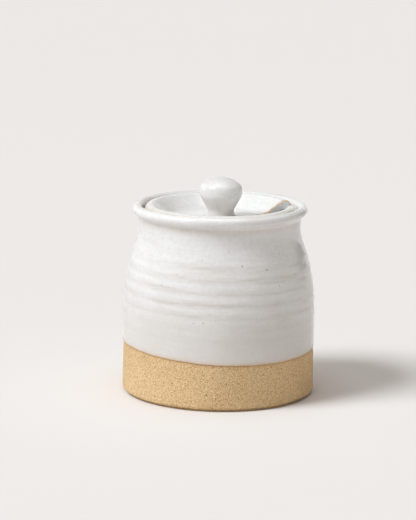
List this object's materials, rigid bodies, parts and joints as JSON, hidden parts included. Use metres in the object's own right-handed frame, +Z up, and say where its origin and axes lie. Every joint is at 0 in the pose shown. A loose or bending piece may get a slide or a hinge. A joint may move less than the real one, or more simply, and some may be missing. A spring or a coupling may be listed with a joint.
{
  "type": "stoneware honey pot",
  "caption": "Wheel-thrown stoneware honey pot with a rolled rim, a bare clay foot band and a sunk lid with a mushroom knob and a dipper notch.",
  "frame": {"origin": "centre of the pot's underside, on the surface that it stands on", "axes": "+Z up along the pot's turning axis, +X to the viewer's right and towards the lid's notch, +Y away from the viewer"},
  "size_m": [0.104, 0.104, 0.117],
  "materials": {
    "glaze": "glossy white glaze with sparse iron specks, over the pot and the lid",
    "stoneware": "fired, unglazed tan stoneware with a fine grain, on the foot band and the underside of the pot"
  },
  "bodies": {
    "root": {"pot": "glaze", "lid": "glaze"}
  },
  "joints": []
}
